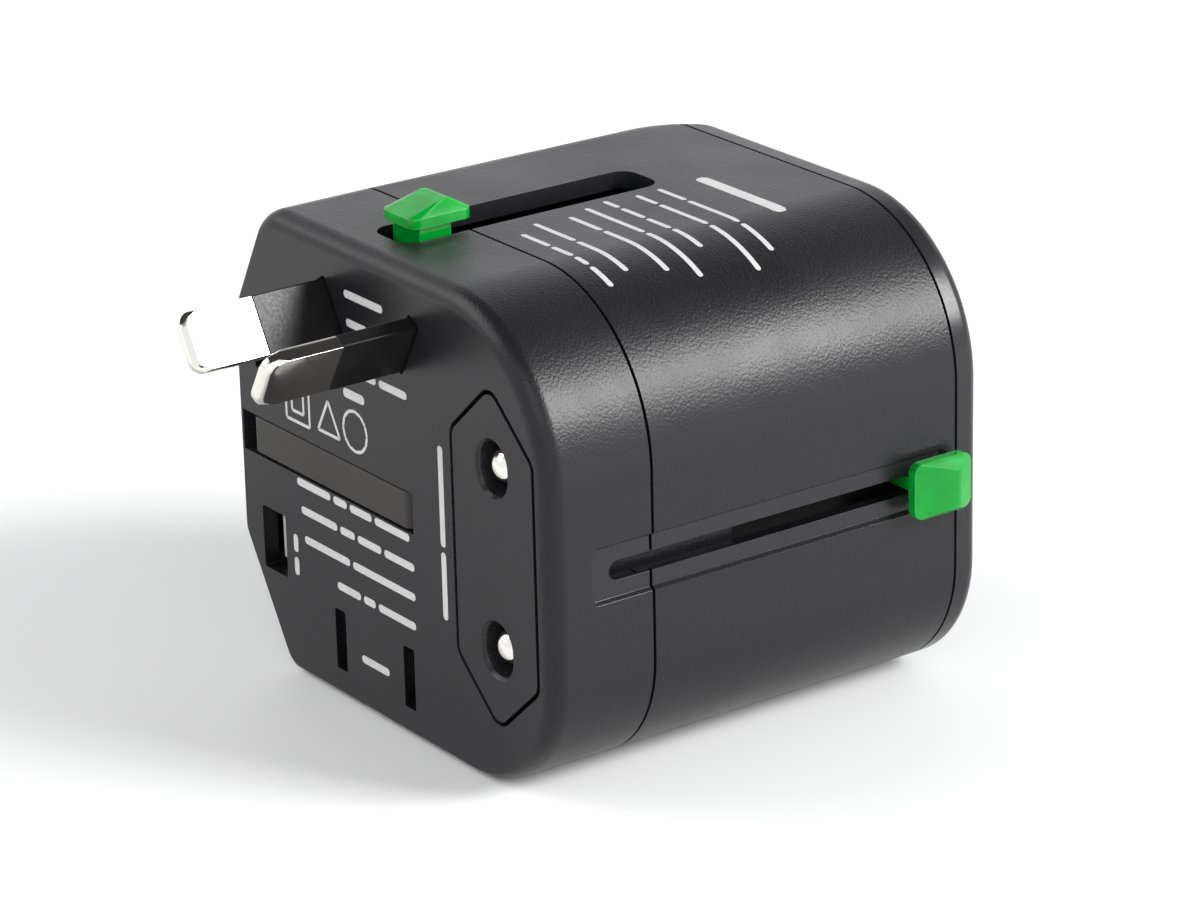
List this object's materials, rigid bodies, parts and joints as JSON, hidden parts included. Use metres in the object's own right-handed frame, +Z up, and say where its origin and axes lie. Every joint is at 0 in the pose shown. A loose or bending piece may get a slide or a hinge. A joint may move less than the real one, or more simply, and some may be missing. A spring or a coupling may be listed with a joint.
{
  "type": "universal travel adapter",
  "caption": "Cube-shaped universal travel adapter with sliding plug sets on its front face, a folding earth pin, green slider buttons and a universal socket at the rear.",
  "frame": {"origin": "middle of the bottom of the object's box, on the flat side it rests on", "axes": "+Z up from the side it rests on; the plug face looks along -Y and the socket face along +Y; +X to the right when looking at the plug face"},
  "size_m": [0.0636, 0.0706, 0.054],
  "materials": {
    "casing_black": "fine-textured satin",
    "inner_plastic": "matt",
    "sleeve_black": "satin",
    "button_green": "clear green, polished",
    "nickel": "nickel-plated",
    "brass": "rolled strip",
    "ceramic": "glazed",
    "screw_steel": "zinc-plated"
  },
  "bodies": {
    "casing": {"front_cover": "casing_black", "body_shell": "casing_black", "rear_cover": "casing_black", "socket_block": "inner_plastic", "inner_frame": "inner_plastic", "live_busbar": "brass", "neutral_busbar": "brass", "live_contact": "brass", "neutral_contact": "brass", "fuse": "ceramic", "fuse_clip_front": "brass", "fuse_clip_rear": "brass", "case_screw_1": "screw_steel", "case_screw_2": "screw_steel", "case_screw_3": "screw_steel", "case_screw_4": "screw_steel", "uk_earth_hinge_pin": "screw_steel"},
    "au_slider": {"au_carrier": "inner_plastic", "au_slider_button": "button_green", "au_blade_left": "nickel", "au_blade_right": "nickel", "au_sleeve_left": "sleeve_black", "au_sleeve_right": "sleeve_black"},
    "eu_block": {"eu_plug_block": "casing_black"},
    "eu_pins": {"eu_pin_carrier": "inner_plastic", "eu_slider_button": "button_green", "eu_pin_upper": "nickel", "eu_pin_lower": "nickel", "eu_sleeve_upper": "sleeve_black", "eu_sleeve_lower": "sleeve_black"},
    "us_slider": {"us_carrier": "inner_plastic", "us_slider_button": "button_green", "us_blade_left": "nickel", "us_blade_right": "nickel"},
    "uk_slider": {"uk_carrier": "inner_plastic", "uk_slider_button": "button_green", "uk_pin_line": "nickel", "uk_pin_neutral": "nickel", "uk_sleeve_line": "sleeve_black", "uk_sleeve_neutral": "sleeve_black"},
    "uk_earth": {"uk_earth_pin": "sleeve_black"}
  },
  "joints": [
    {"name": "au_slide", "type": "slide", "parent": "casing", "child": "au_slider", "axis": [0, 1, 0], "range_m": [0, 0.0195]},
    {"name": "eu_block_slide", "type": "slide", "parent": "casing", "child": "eu_block", "axis": [0, -1, 0], "range_m": [0, 0.0172]},
    {"name": "eu_pin_slide", "type": "slide", "parent": "eu_block", "child": "eu_pins", "axis": [0, -1, 0], "range_m": [0, 0.0193]},
    {"name": "us_slide", "type": "slide", "parent": "casing", "child": "us_slider", "axis": [0, -1, 0], "range_m": [0, 0.0179]},
    {"name": "uk_slide", "type": "slide", "parent": "casing", "child": "uk_slider", "axis": [0, -1, 0], "range_m": [0, 0.0197]},
    {"name": "uk_earth_fold", "type": "hinge", "parent": "casing", "child": "uk_earth", "pos_m": [0.00035, -0.01422, 0.0248], "axis": [0, 0, 1], "range_deg": [0, 90]}
  ]
}
